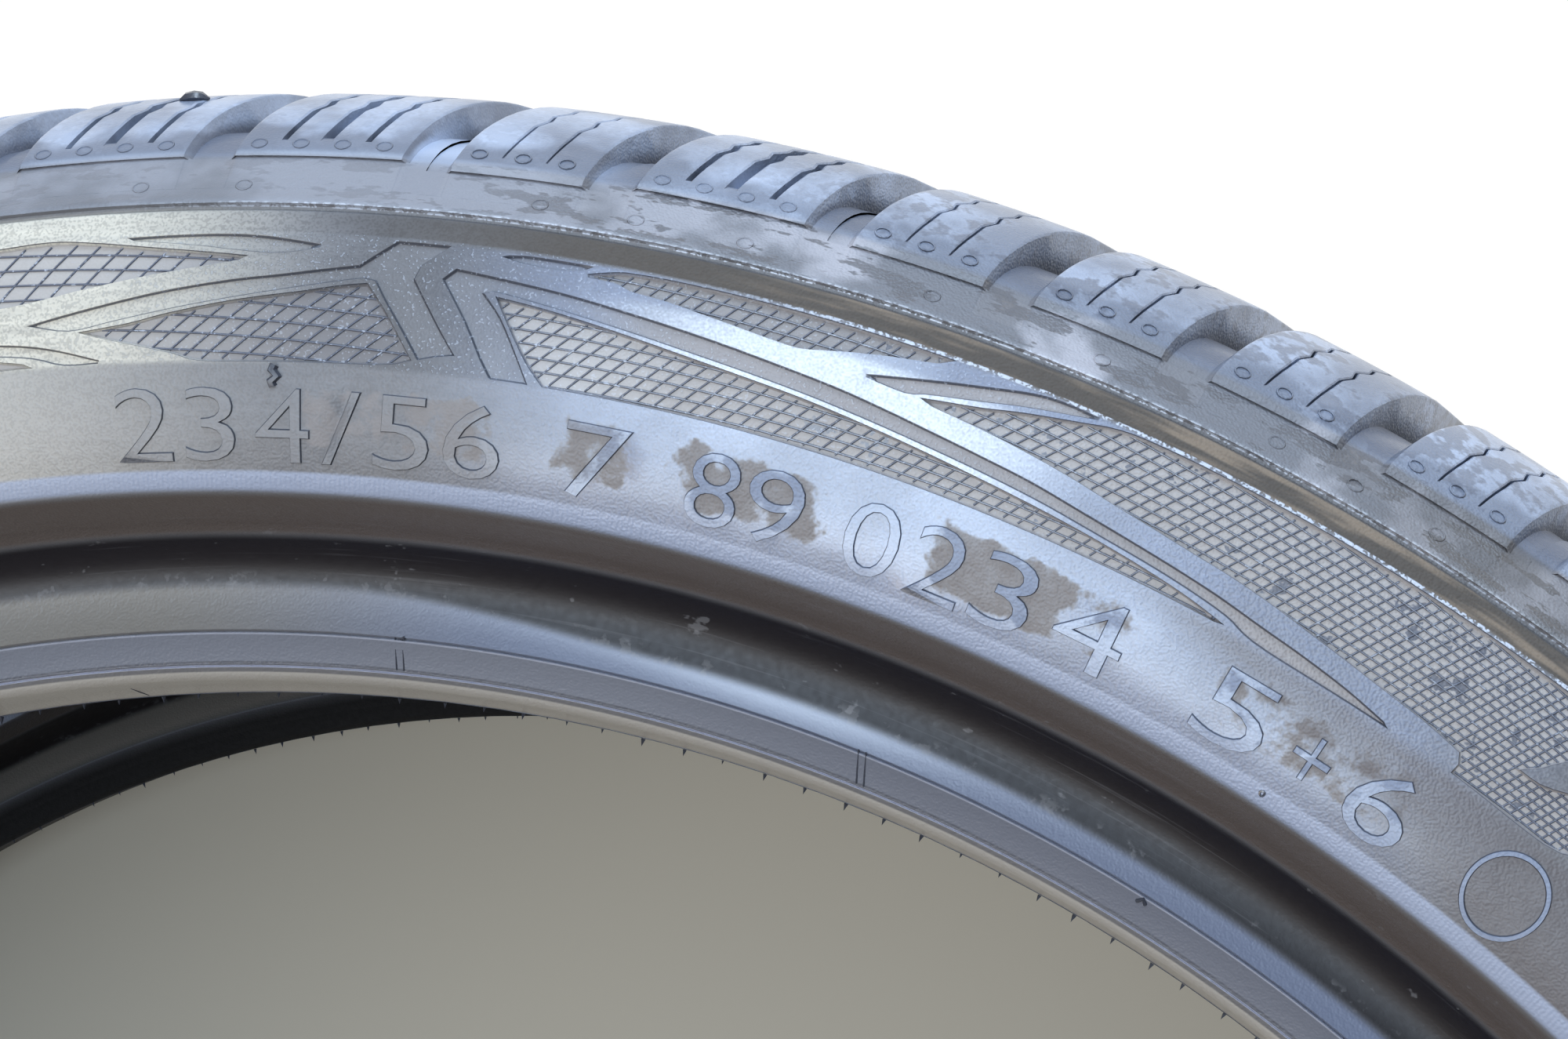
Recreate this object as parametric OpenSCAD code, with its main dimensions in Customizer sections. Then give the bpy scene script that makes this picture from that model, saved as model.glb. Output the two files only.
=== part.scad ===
// Low-profile car tyre, moulded in one piece. The wheel axis is Z and the origin is the wheel centre.

/* [Tyre size] */
// Section width across the sidewalls
section_w = 275; // [255:5:305]
// Section height as a percentage of the section width
aspect = 35; // [33:1:50]
// Nominal rim diameter
rim_d = 482.6; // [470:0.1:510]
// Diameter of the bead seats on that rim
seat_d = 487.4; // [475:0.1:495]

/* [Beads] */
// Width over the two bead heels, off the rim
heel_w = 217; // [190:1:225]
// Length of a bead's cylindrical seat
seat_l = 9.5; // [5:0.5:14]
// Length of the tapered toe inside the seat
toe_l = 4.5; // [2:0.5:8]
// How far the toe stands in from the seat
toe_in = 1.3; // [0.4:0.1:2.5]
// Radial height of the heel chamfer
heel_h = 2.3; // [1:0.1:4]
// Width of the heel chamfer
heel_c = 2.9; // [1:0.1:4]
// Radial height of the bead face above the chamfer
face_h = 5; // [3:0.5:8]
// How far the bead face leans outwards
face_lean = 4; // [2:0.5:7]
// Radial height of the hollow that takes the rim flange
hollow_h = 15; // [10:0.5:16]
// Depth of that hollow
hollow_d = 4.5; // [2:0.5:8]

/* [Sidewall] */
// Height of the rim protector's crest above the bead seat
crest_h = 26; // [25:0.5:32]
// How far the crest lies inside the section width on each side
crest_in = 4.8; // [2:0.2:10]
// How far the underside of the crest reaches down to the hollow
crest_drop = 10.8; // [8:0.2:14]
// Edge break of the crest
crest_edge = 1.2; // [0.4:0.1:2]
// Radial distance from the tread surface to the shoulder line
line_drop = 27.8; // [25:0.2:34]
// How far the shoulder line lies inside the section width on each side
line_in = 4.1; // [2:0.1:8]
// Width of the shoulder line
line_w = 1.2; // [0.6:0.1:2]
// Depth of the shoulder line
line_d = 0.7; // [0.3:0.1:1.5]
// Thickness of the sidewall
wall = 9; // [6:0.5:12]
// Thickness of the bead filler behind the crest
filler = 16; // [12:0.5:20]
// Thickness of the bead between its toe and its inner face
toe_wall = 4; // [2:0.5:6]

/* [Tread] */
// Radius of the crown across the tread
crown_r = 1130; // [600:10:2000]
// Width of the crown, between the shoulder rounds
crown_w = 192; // [176:2:206]
// Fullness of the shoulder rounds
round_out = 19; // [14:0.5:22]
// Thickness from the tread surface to the inner liner
crown_t = 16.5; // [14:0.5:22]
// Width of the circumferential grooves
groove_w = 9.5; // [6:0.5:12]
// Depth of the circumferential grooves
groove_d = 8; // [5:0.5:9]
// How far each groove wall leans in at its foot
groove_lean = 1.2; // [0:0.1:2]
// Distance of the inner two grooves from the mid-plane
inner_z = 20; // [16:1:24]
// Distance of the outer two grooves from the mid-plane
outer_z = 62; // [54:1:68]
// Width of the slots that cross the centre ribs
rib_slot_w = 3.4; // [2:0.2:5]
// Depth of those slots
rib_slot_d = 6; // [3:0.5:7.5]
// Slant of those slots from the wheel axis
rib_slant = 28; // [0:1:35]

/* [Shoulder blocks] */
// Radial distance from the tread surface to the lower edge of the blocks
pad_drop = 19; // [17:0.5:22]
// How far that edge lies inside the section width on each side
pad_in = 10.5; // [8:0.5:14]
// How far the blocks stand proud of the shoulder there
pad_t = 0.9; // [0.3:0.1:1.5]
// Width of the lateral grooves between the blocks
gap_w = 7.6; // [5:0.2:9]
// Depth of the lateral grooves
gap_d = 7.8; // [5:0.2:8.6]
// Lean of the lateral grooves and of the slots from the wheel axis
gap_lean = 17; // [0:1:25]
// Width of the middle slot in a long block
wide_slot_w = 2.2; // [1:0.1:3.5]
// Width of the other slots in the blocks
slot_w = 1; // [0.6:0.1:2]
// Depth of the slots in the blocks
slot_d = 5; // [3:0.5:7]
// How far the slots run past the shoulder rounds onto the crown
slot_past = 6; // [0:1:20]

/* [Hidden] */

// A tyre alternates long and short pitches, each a block and its groove, to roll quietly.
long = 6;
short = 5;
pitch_mix = [long, long, short, long, short, short, short, short, long, short, short, long, short, short];
mix_turns = 5;
first_gap = -6.33;
share = 360 / mix_turns / total(pitch_mix, len(pitch_mix));

// Segments of each drawn curve, and how far a cut runs on past the surface
steps = 5;
over = 12;

// Shape of the drawn curves: the hollow's deepest place as a share of its height, the fall of the
// shoulder round at its start and the ease of the inner face over the toe
hollow_share = 0.7;
round_fall = 2;
toe_ease = 2;

// Floor of the lateral grooves: how far each side of the crown's end it bends, and its outlet above
// and inside the lower edge of the blocks
gap_bend = 4;
gap_rise = 3.3;
gap_inset = 7;

// Floor of the slots: where it bends, and its outlet above and inside the same edge
slot_bend = 6;
slot_rise = 3;
slot_inset = 3;
slot_run = 2;

seat_r = seat_d / 2;
tread_r = rim_d / 2 + section_w * aspect / 100;
half_w = section_w / 2;
heel_z = heel_w / 2;
crown_z = crown_w / 2;
face_r = seat_r + heel_h;
hollow_r = face_r + face_h;
face_z = heel_z + heel_c;
hollow_z = face_z + face_lean;
crest_r = seat_r + crest_h;
crest_z = half_w - crest_in;
line_r = tread_r - line_drop;
line_z = half_w - line_in;
pad_r = tread_r - pad_drop;
pad_z = half_w - pad_in;

// Sum of the first n entries of a list
function total(list, n) = n == 0 ? 0 : list[n - 1] + total(list, n - 1);

// Curve from a to c, drawn towards b, as [radius, z] points
function curve(a, b, c, n = steps) =
    [for (i = [0:n]) let (t = i / n) (1 - t) * (1 - t) * a + 2 * t * (1 - t) * b + t * t * c];

// Radius of the tread surface at a distance z from the mid-plane
function tread_at(z) = tread_r - crown_r + sqrt(crown_r * crown_r - z * z);

// Section of a circumferential groove, outwards from the mid-plane
function groove(z) = let (half = groove_w / 2, foot = groove_w / 2 - groove_lean)
    [[tread_at(z - half), z - half],
     [tread_at(z) - groove_d, z - foot],
     [tread_at(z) - groove_d, z + foot],
     [tread_at(z + half), z + half]];

crown_end = [tread_at(crown_z), crown_z];
pad_end = [pad_r, pad_z];
line_top = [line_r + line_w / 2, line_z];
line_foot = [line_r - line_w / 2, line_z];
bulge = [(line_r + crest_r) / 2, 2 * half_w - (line_z + crest_z) / 2];
crest_foot = [crest_r - crest_edge / 2, crest_z - crest_edge];
hollow_end = [hollow_r + hollow_h, crest_z - crest_drop];
hollow_low = [hollow_r + hollow_h * hollow_share, hollow_z - hollow_d];

// Outer face from the middle of the tread to the toe of the upper bead
outside = concat(
    [[tread_r, 0]],
    groove(inner_z),
    groove(outer_z),
    curve(crown_end, [crown_end[0] - round_fall, crown_z + round_out], pad_end),
    [[pad_r, pad_z - pad_t], line_top, [line_r, line_z - line_d]],
    curve(line_foot, bulge, [crest_r, crest_z], 2 * steps),
    [crest_foot],
    curve(hollow_end, hollow_low, [hollow_r, hollow_z]),
    [[face_r, face_z], [seat_r, heel_z], [seat_r, heel_z - seat_l], [seat_r - toe_in, heel_z - seat_l - toe_l]]
);

// Inner face from the toe back to the middle of the crown
toe_z = heel_z - seat_l - toe_l;
bead_in = [seat_r + toe_wall, toe_z - toe_in];
apex_in = [crest_r, crest_z - filler];
belly = [bulge[0], bulge[1] - 2 * wall];
shoulder_in = [line_r, line_z - wall - line_in];
crown_in = [tread_at(crown_z / 2) - crown_t, crown_z / 2];
inside = concat(
    curve(bead_in, [seat_r + crest_h / 2, toe_z + toe_ease], apex_in),
    curve(apex_in, belly, shoulder_in),
    curve(shoulder_in, [crown_end[0] - crown_t, crown_z + over], crown_in),
    [[tread_r - crown_t, 0]]
);

half_section = concat(outside, inside);

module casing() {
    mirrored = [for (i = [len(half_section) - 2:-1:1]) [half_section[i][0], -half_section[i][1]]];
    rotate_extrude($fn = 180)
        polygon(concat(half_section, mirrored));
}

// A slab cut at right angles to the tread, leaning about its lower edge. The profile is [radius, z].
module cut(profile, width, x = 0) {
    stretch = 1 / cos(gap_lean);
    rotate([0, -gap_lean, 0])
        translate([x - width / 2, 0, 0])
            rotate([90, 0, 90])
                linear_extrude(width)
                    polygon([for (p = profile) [p[0], (p[1] - pad_z) * stretch]]);
}

gap_end = outer_z - groove_lean;
gap_profile = [
    [tread_at(gap_end) - gap_d, gap_end],
    [crown_end[0] - gap_d, crown_z + gap_bend],
    [pad_r + gap_rise, pad_z - gap_inset],
    [pad_r - over, pad_z + over],
    [tread_r + over, pad_z + over],
    [tread_r + over, gap_end]
];

slot_start = pad_z - slot_inset;
slot_end = crown_z - slot_past;
slot_profile = [
    [tread_at(slot_end) - slot_d, slot_end],
    [crown_end[0] - slot_d, crown_z + slot_bend],
    [pad_r + slot_rise, slot_start + slot_run],
    [tread_r + over, slot_start + slot_run],
    [tread_r + over, slot_end]
];

// Three slots side by side in a long block; the fine cuts of the short blocks are left out.
module block_slots() {
    block_w = pad_r * long * share * PI / 180 - gap_w;
    first = (gap_w + block_w / 2) / 2;
    cut(slot_profile, slot_w, first);
    cut(slot_profile, wide_slot_w, first + block_w / 4);
    cut(slot_profile, slot_w, first + block_w / 2);
}

module shoulder_cuts() {
    for (turn = [0:mix_turns - 1])
        for (i = [0:len(pitch_mix) - 1])
            rotate([0, 0, -first_gap - turn * 360 / mix_turns - share * total(pitch_mix, i)])
                translate([0, 0, pad_z]) {
                    cut(gap_profile, gap_w);
                    if (pitch_mix[i] == long) block_slots();
                }
}

module rib_slots() {
    length = 2 * outer_z / cos(rib_slant);
    for (turn = [0:mix_turns - 1])
        for (i = [0:len(pitch_mix) - 1])
            rotate([0, 0, -first_gap - turn * 360 / mix_turns - share * total(pitch_mix, i)])
                translate([0, tread_r - rib_slot_d, 0])
                    rotate([0, -rib_slant, 0])
                        translate([-rib_slot_w / 2, 0, -length / 2])
                            cube([rib_slot_w, rib_slot_d + over, length]);
}

module tyre() {
    color([0.16, 0.16, 0.17])
        difference() {
            casing();
            shoulder_cuts();
            rotate([180, 0, 0]) shoulder_cuts();
            rib_slots();
        }
}

tyre();
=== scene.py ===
# Low-profile car tyre lying flat, seen from close above its sidewall.
import math
import random
import bpy
from mathutils import Matrix, Vector
from mathutils.geometry import delaunay_2d_cdt


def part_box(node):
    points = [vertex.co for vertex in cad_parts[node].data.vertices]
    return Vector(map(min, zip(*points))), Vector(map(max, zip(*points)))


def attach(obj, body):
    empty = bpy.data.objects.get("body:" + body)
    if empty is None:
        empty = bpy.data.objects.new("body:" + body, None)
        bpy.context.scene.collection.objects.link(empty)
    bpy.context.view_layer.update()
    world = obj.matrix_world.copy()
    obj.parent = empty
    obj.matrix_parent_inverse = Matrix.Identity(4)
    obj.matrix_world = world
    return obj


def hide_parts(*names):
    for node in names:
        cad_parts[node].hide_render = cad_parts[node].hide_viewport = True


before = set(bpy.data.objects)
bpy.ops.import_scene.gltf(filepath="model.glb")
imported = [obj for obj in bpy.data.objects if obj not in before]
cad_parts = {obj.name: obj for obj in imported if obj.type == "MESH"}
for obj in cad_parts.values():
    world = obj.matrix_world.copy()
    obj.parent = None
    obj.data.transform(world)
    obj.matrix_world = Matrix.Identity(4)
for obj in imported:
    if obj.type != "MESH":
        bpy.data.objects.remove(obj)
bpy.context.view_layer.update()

mm = 0.001
tyreLow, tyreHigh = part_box("tyre")
treadR = max(tyreHigh[0], tyreHigh[1]) / mm  # the script's own lengths are in millimetres
halfW = tyreHigh[2] / mm
print("tyre box:", round(treadR, 2), round(halfW, 2))

# Shared shapes.

casing = {
    "seatR": 243.7,       # bead seat
    "heelZ": 108.5,       # half the width over the heels
    "toeL": 14,           # from the heel to the toe
    "toeIn": 1.3,
    "toeWall": 4,
    "crestR": 269.7,      # crest of the rim protector
    "crestIn": 4.8,       # how far the rings lie inside the section width
    "lineIn": 4.1,
    "padIn": 10.5,
    "lineR": treadR - 27.8,   # shoulder line
    "lineHalf": 0.6,
    "padR": treadR - 19,  # lower edge of the shoulder blocks
    "padT": 0.9,          # how far the blocks stand proud there
    "crownR": 1130,       # radius of the crown across the tread
    "crownZ": 96,
    "crownT": 16.5,
    "wall": 9,
    "filler": 16,
    "segments": 360,
    "sharp": 32,          # edges steeper than this stay sharp, in degrees
}


def bend(a, b, c, n):  # points after a on a curve from a to c that is drawn towards b
    steps = [i / n for i in range(1, n + 1)]
    return [tuple((1 - t) ** 2 * a[k] + 2 * t * (1 - t) * b[k] + t * t * c[k] for k in (0, 1)) for t in steps]


def treadAt(z):
    return treadR - casing["crownR"] + math.sqrt(casing["crownR"] ** 2 - z * z)


def between(x, xs, ys):  # straight interpolation in rising xs
    for i in range(1, len(xs)):
        if x <= xs[i]:
            t = (x - xs[i - 1]) / (xs[i] - xs[i - 1])
            return ys[i - 1] + t * (ys[i] - ys[i - 1])
    return ys[-1]


def easeIn(x, low, high):
    t = min(max((x - low) / (high - low), 0), 1)
    return t * t * (3 - 2 * t)


def onWheel(angle, r, z):  # angle in degrees, clockwise from +Y seen from +Z
    a = math.radians(angle)
    return (r * math.sin(a) * mm, r * math.cos(a) * mm, z * mm)


lineZ = halfW - casing["lineIn"]
crest = (casing["crestR"], halfW - casing["crestIn"])
lineFoot = (casing["lineR"] - casing["lineHalf"], lineZ)
lineTop = (casing["lineR"] + casing["lineHalf"], lineZ)
padEnd = (casing["padR"], halfW - casing["padIn"])
crownEnd = (treadAt(casing["crownZ"]), casing["crownZ"])
bulge = ((casing["lineR"] + crest[0]) / 2, 2 * halfW - (lineZ + crest[1]) / 2)
sidewall = [crest] + bend(crest, bulge, lineFoot, 80)
sideR = [p[0] for p in sidewall]
sideZ = [p[1] for p in sidewall]


def offSlope(r, z, slope, lift):  # a point lifted square off a face of this slope
    length = math.hypot(slope, 1)
    return (r - slope / length * lift, z + lift / length)


def sideAt(r, lift=0.0):  # point of the sidewall at radius r
    slope = (between(r + 0.2, sideR, sideZ) - between(r - 0.2, sideR, sideZ)) / 0.4
    return offSlope(r, between(r, sideR, sideZ), slope, lift)


shoulderSlope = (padEnd[1] - casing["padT"] - lineTop[1]) / (padEnd[0] - lineTop[0])


def onShoulder(r, lift):  # the straight zone between the shoulder line and the blocks
    return offSlope(r, lineTop[1] + (r - lineTop[0]) * shoulderSlope, shoulderSlope, lift)


def placed(name, data):  # an object of the data, in the scene
    piece = bpy.data.objects.new(name, data)
    bpy.context.collection.objects.link(piece)
    return piece


def addPiece(name, verts, faces, outwards=True, dustAndShade=None):
    mesh = bpy.data.meshes.new(name)
    mesh.from_pydata(verts, [], faces)
    mesh.update()
    facing = 0.0
    middle = (crest[0] + treadR) / 2 * mm
    for face in mesh.polygons:
        x, y, z = face.center
        r = math.hypot(x, y)
        out = Vector((x / r * (r - middle), y / r * (r - middle), z))
        facing += face.normal.dot(out) * face.area
    if (facing > 0) != outwards:
        mesh.flip_normals()
    if dustAndShade:
        mesh.attributes.new("dustAndShade", "FLOAT", "POINT").data.foreach_set("value", dustAndShade)
    mesh.shade_smooth()
    mesh.set_sharp_from_angle(angle=math.radians(casing["sharp"]))
    return placed(name, mesh)


def joined(name, pieces):  # one piece of several, with the same points merged
    places, points, dusty, faces = {}, [], [], []
    for piece in pieces:
        mesh = piece.data
        values = mesh.attributes.get("dustAndShade")
        dustAndShade = [d.value for d in values.data] if values else [0.0] * len(mesh.vertices)
        keep = []
        for vert, d in zip(mesh.vertices, dustAndShade):
            key = tuple(round(c * 2e5) for c in vert.co)
            if key not in places:
                places[key] = len(points)
                points.append(tuple(vert.co))
                dusty.append(d)
            keep.append(places[key])
        faces += [[keep[i] for i in face.vertices] for face in mesh.polygons]
        bpy.data.objects.remove(piece)
    faces = [f for f in faces if len(set(f)) == len(f)]
    return addPiece(name, points, faces, dustAndShade=dusty)


def turned(piece, name, angle, axis="Z"):  # a turned copy
    other = piece.copy()
    other.data = piece.data.copy()
    other.data.transform(Matrix.Rotation(-math.radians(angle), 4, axis))
    other.name = name
    bpy.context.collection.objects.link(other)
    return other


def turnedOver(piece, name):  # the same piece on the other side
    return turned(piece, name, -180, "X")


def revolve(name, profile, outwards=True):
    n = casing["segments"]
    verts = [onWheel(360 * i / n, r, z) for r, z in profile for i in range(n)]
    faces = []
    for row in range(len(profile) - 1):
        for i in range(n):
            j = (i + 1) % n
            faces.append([row * n + i, row * n + j, (row + 1) * n + j, (row + 1) * n + i])
    return addPiece(name, verts, faces, outwards)


# Relief on the sidewall: raised and sunk fields of one surface, in (degrees, millimetres).

degree = 5.17  # millimetres on the middle of the sidewall
cornerTurn = 28  # an outline turns at least this much at a sharp corner


def flow(outline, step=1.6):  # a smooth run through the points, with sharp corners kept
    points = [Vector((a * degree, r)) for a, r in outline]
    n = len(points)

    def isCorner(i):
        before = points[i] - points[i - 1]
        after = points[(i + 1) % n] - points[i]
        return before.angle(after) > math.radians(cornerTurn)

    corners = [isCorner(i) for i in range(n)]
    out = []
    for i in range(n):
        p, q = points[i], points[(i + 1) % n]
        before = p - (q - p) if corners[i] else points[i - 1]
        after = q + (q - p) if corners[(i + 1) % n] else points[(i + 2) % n]
        count = max(1, round((q - p).length / step))
        for k in range(count):
            t = k / count
            a = 2 * p + (q - before) * t
            b = (2 * before - 5 * p + 4 * q - after) * t * t
            c = (3 * p - before - 3 * q + after) * t ** 3
            out.append((a + b + c) / 2)
    return out


def area(loop):
    return sum(a.x * b.y - b.x * a.y for a, b in zip(loop, loop[1:] + loop[:1])) / 2


def inset(loop, depth):  # the loop moved inwards, or outwards by a negative depth
    sign = 1 if area(loop) > 0 else -1
    out = []
    for i, p in enumerate(loop):
        before = (p - loop[i - 1]).normalized()
        after = (loop[(i + 1) % len(loop)] - p).normalized()
        across = Vector((-after.y, after.x))
        side = Vector((-before.y, before.x)) + across
        if side.length < 1e-6:
            side = across.copy()
        side.normalize()
        out.append(p + side * sign * depth / max(side.dot(across), 0.4))
    kept = [p for p in out if gapTo(p, loop) > 0.8 * abs(depth)]
    return kept if len(kept) > 2 else out


def gapTo(p, loop):  # distance from a point to the loop
    best = 1e9
    for a, b in zip(loop, loop[1:] + loop[:1]):
        along = b - a
        t = min(max((p - a).dot(along) / max(along.length_squared, 1e-12), 0), 1)
        best = min(best, (a + along * t - p).length_squared)
    return math.sqrt(best)


def inside(p, loop):
    odd = False
    for a, b in zip(loop, loop[1:] + loop[:1]):
        if (a.y > p.y) != (b.y > p.y) and p.x < a.x + (p.y - a.y) / (b.y - a.y) * (b.x - a.x):
            odd = not odd
    return odd


def field(loops, outer, shape, lift, dustAndShade):  # loops with their lift, the width of the edge and the dust-and-shade value
    return {"loops": loops, "outer": outer, "edge": shape["edge"], "lift": lift, "dustAndShade": dustAndShade}


def reliefPatch(name, angles, radii, fields):  # a patch of sidewall with the fields in it
    points, links, lifts = [], [], []

    def addLoop(loop, lift, dustAndShade):
        base = len(points)
        points.extend(loop)
        lifts.extend([(lift, dustAndShade)] * len(loop))
        links.extend((base + i, base + (i + 1) % len(loop)) for i in range(len(loop)))

    first, last = angles
    low, high = radii
    rows = max(2, round((high - low) / 2.4))
    levels = [low + (high - low) * i / rows for i in range(rows + 1)]
    rim = [Vector((a * degree, low)) for a in range(first, last)]
    rim += [Vector((last * degree, r)) for r in levels[:-1]]
    rim += [Vector((a * degree, high)) for a in range(last, first, -1)]
    rim += [Vector((first * degree, r)) for r in reversed(levels[1:])]
    addLoop(rim, 0, 0)
    near = set()
    for one in fields:
        for loop in one["loops"]:
            addLoop(loop, 0, 0)
            depth = one["edge"] if loop is one["outer"] else -one["edge"]
            addLoop(inset(loop, depth), one["lift"], one["dustAndShade"])
            near.update((round(p.x), round(p.y)) for p in loop)
    for a in range(first + 1, last):
        for r in levels[1:-1]:
            p = Vector((a * degree, r))
            if any((round(p.x) + i, round(p.y) + j) in near for i in (-1, 0, 1) for j in (-1, 0, 1)):
                continue
            lift = (0, 0)
            for one in fields:
                if sum(inside(p, loop) for loop in one["loops"]) % 2:
                    lift = (one["lift"], one["dustAndShade"])
            points.append(p)
            lifts.append(lift)
    made = delaunay_2d_cdt(points, links, [], 1, 1e-5)
    verts, dusty = [], []
    for p, source in zip(made[0], made[3]):
        lift, dustAndShade = lifts[source[0]] if source else (0, 0)
        verts.append(onWheel(p.x / degree, *sideAt(p.y, lift)))
        dusty.append(float(dustAndShade))
    return addPiece(name, verts, made[2], dustAndShade=dusty)


# Fields of the decoration, repeated every 60 degrees. Ribbons are plain, panels carry hatching.
decor = {
    "turn": 60,
    "start": -14,
    "low": 286.6,
    "high": 306.2,
    "ribbonDepth": 0.45,
    "panelDepth": 0.75,
    "edge": 0.3,
    "ribbons": {
        "leaf": [(-2.7, 305.2), (-1.9, 305.5), (0.95, 305.6), (3.33, 304.15), (1.7, 302.85), (-0.6, 304.05)],
        "leafSmall": [(7.83, 304.8), (8.46, 305.4), (11, 305.4), (10.4, 305), (9.4, 304), (8.28, 304.3)],
        "hook": [
            (-5.06, 293.5), (-3.22, 295.4), (-1.22, 297.4), (0.75, 299), (1.85, 299.7), (2.84, 300.5),
            (4.11, 301.6), (5.03, 305.5), (6.48, 305.5), (5.79, 302.2), (5.66, 300.2), (6.16, 296.4),
            (6.61, 293.1), (7.07, 290), (6.45, 289.4), (6.04, 288.8), (5.46, 293), (4.91, 296.9),
            (4.6, 299.4), (4.3, 299.7), (3.14, 298.6), (1.8, 297.3), (-0.7, 295), (-2.61, 293.2),
            (-3.86, 292.2),
        ],
        "sweep": [
            (6.39, 300.6), (6.72, 302.3), (8.1, 301.6), (9.79, 300.8), (11.18, 300), (12.64, 299.2),
            (13.98, 298.5), (15.68, 297.6), (17.6, 296.7), (19.78, 295.4), (21.54, 294.5), (23.1, 293.8),
            (24.55, 292.9), (25.95, 292.2), (27.33, 291.6), (28.71, 291), (30.14, 290.2), (31.5, 289.65),
            (32.85, 289), (33.85, 288.3), (35, 287.5), (30.6, 287.5), (29.2, 288.9), (28.05, 289.6),
            (26.93, 290.1), (25.85, 290.5), (24.7, 291), (23.49, 291.6), (21.72, 292.3), (19.97, 293),
            (18.21, 293.8), (16.7, 294.5), (15.3, 295.1), (13.59, 295.9), (11.88, 296.9), (10.19, 298),
            (8.9, 298.9), (7.82, 299.6), (7.6, 299.2), (8.15, 296.1), (8.7, 291.7), (9.2, 287.4),
            (8.11, 287.4), (7.75, 290), (7.2, 294.7),
        ],
        "leafLong": [
            (17.67, 299.4), (19.34, 301.5), (20.84, 303.4), (22.59, 305.5), (24.3, 305.55), (23.4, 304.4),
            (22, 302.7), (21, 301.3), (19.6, 299.6), (19.1, 298.9),
        ],
        "tail": [
            (-12.5, 287.4), (-11.5, 289.4), (-9.8, 291.5), (-7.7, 291.9), (-5.8, 291.2), (-4.4, 290),
            (-2.7, 287.45), (-4, 287.4), (-4.9, 288.7), (-6.2, 289.6), (-7.7, 289.9), (-9.2, 289.3),
            (-10.5, 287.4),
        ],
    },
    # Hatching: gaps of the slanted lines and of the long lines and the slant in degrees, each at the
    # left and the right end, and how the long lines fall.
    "panels": {
        "leafHatch": {
            "outline": [
                (-9.2, 303.2), (-8, 304.7), (-5.78, 305.3), (-4.35, 305.6), (-3.2, 305), (-1.31, 303.7),
                (1.37, 302.3), (0.21, 301.2), (-1.6, 299.7), (-3.33, 298.2), (-5.1, 296.7), (-6.4, 296.5),
                (-8, 298.6), (-9.1, 301.4),
            ],
            "along": (3.9, 3.4), "across": (2.3, 2.1), "slant": (46, 46), "fall": -5.5,
        },
        "tailHatch": {
            "outline": [
                (-9.8, 287.5), (-9.1, 288.6), (-7.7, 289.3), (-6.2, 289), (-5.2, 288.2), (-4.6, 287.5),
            ],
            "along": (3.6, 3.4), "across": (2.3, 2.3), "slant": (46, 46), "fall": -5.5,
        },
        "wedge": {
            "outline": [
                (-3.6, 292), (-2.2, 292.9), (-1.2, 294.05), (0.55, 295.8), (1.9, 296.9), (2.66, 297.5),
                (3.63, 298.5), (4.4, 299.1), (4.88, 296.1), (5.25, 293.5), (5.61, 290.8), (5.89, 288.7),
                (4.97, 287.7), (1.9, 287.35), (-0.1, 287.35), (-0.87, 288.4), (-1.95, 289.7), (-2.97, 291),
            ],
            "along": (3.1, 3.0), "across": (2.5, 2.4), "slant": (40, 40), "fall": -5.5,
        },
        "blade": {
            "outline": [
                (7.9, 299), (9.3, 298.2), (10.76, 297.2), (13, 295.7), (14.9, 294.7), (16.6, 294),
                (18.84, 292.9), (21.2, 291.8), (22.94, 291.1), (24.8, 290.4), (26.9, 289.5),
                (28.3, 288.7), (29.6, 287.6), (24, 287.4), (18, 287.4), (9.6, 287.4), (9.06, 290.2),
                (8.45, 294.6),
            ],
            "along": (2.6, 2.0), "across": (1.9, 1.2), "slant": (45, 60), "fall": 1.5,
        },
        "fan": {
            "outline": [
                (9.9, 303.7), (10.7, 304.9), (11.7, 305.5), (15.9, 305.6), (20.07, 305.6),
                (19.67, 304.4), (18.4, 303.1), (17.39, 302), (16.9, 301.4), (16.1, 300.5),
                (15.24, 300.7), (14.28, 301.2), (13.26, 301.8), (12.36, 302.4), (11.37, 302.8),
                (10.99, 303.5),
            ],
            "along": (2.3, 2.1), "across": (1.9, 1.9), "slant": (50, 56), "fall": -1.4,
        },
        "field": {
            "outline": [
                (19.5, 299), (21.06, 300.6), (22.06, 302), (23.56, 303.9), (24.6, 305.2), (26, 305.55),
                (30, 305.6), (36, 305.6), (40, 305.6), (43, 305.2), (44.6, 303.8), (45.2, 302.3),
                (44.3, 300.1), (43.2, 297.8), (42.3, 295.4), (41.3, 292.4), (40.3, 289.6), (39.3, 287.6),
                (36.28, 287.6), (36.31, 289.1), (36.15, 290.4),
                (35.08, 291), (33.59, 291.5), (32.5, 292), (31.2, 292.65), (30.1, 293.3),
                (28.81, 293.9), (27.57, 294.3), (26.48, 294.8), (25.3, 295.4), (24.2, 296.2),
                (22.72, 297.1), (21.28, 297.8), (19.89, 298.4),
            ],
            "along": (2.35, 0.95), "across": (1.8, 0.75), "slant": (48, 74), "fall": 0.5,
            "islands": [[
                (37.66, 293.4), (38.07, 295.3), (38.46, 298), (39.3, 300.5), (40.6, 302.4), (40.2, 299.5),
                (39.6, 296.8), (38.94, 294.8), (38.26, 293.5),
            ]],
        },
    },
}


def decorFields():
    fields = []
    for outline in decor["ribbons"].values():
        loop = flow(outline)
        fields.append(field([loop], loop, decor, -decor["ribbonDepth"], 0.3))
    for panel in decor["panels"].values():
        loops = [flow(panel["outline"])] + [flow(island) for island in panel.get("islands", [])]
        fields.append(field(loops, loops[0], decor, -decor["panelDepth"], 1.0))
    return fields


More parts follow.
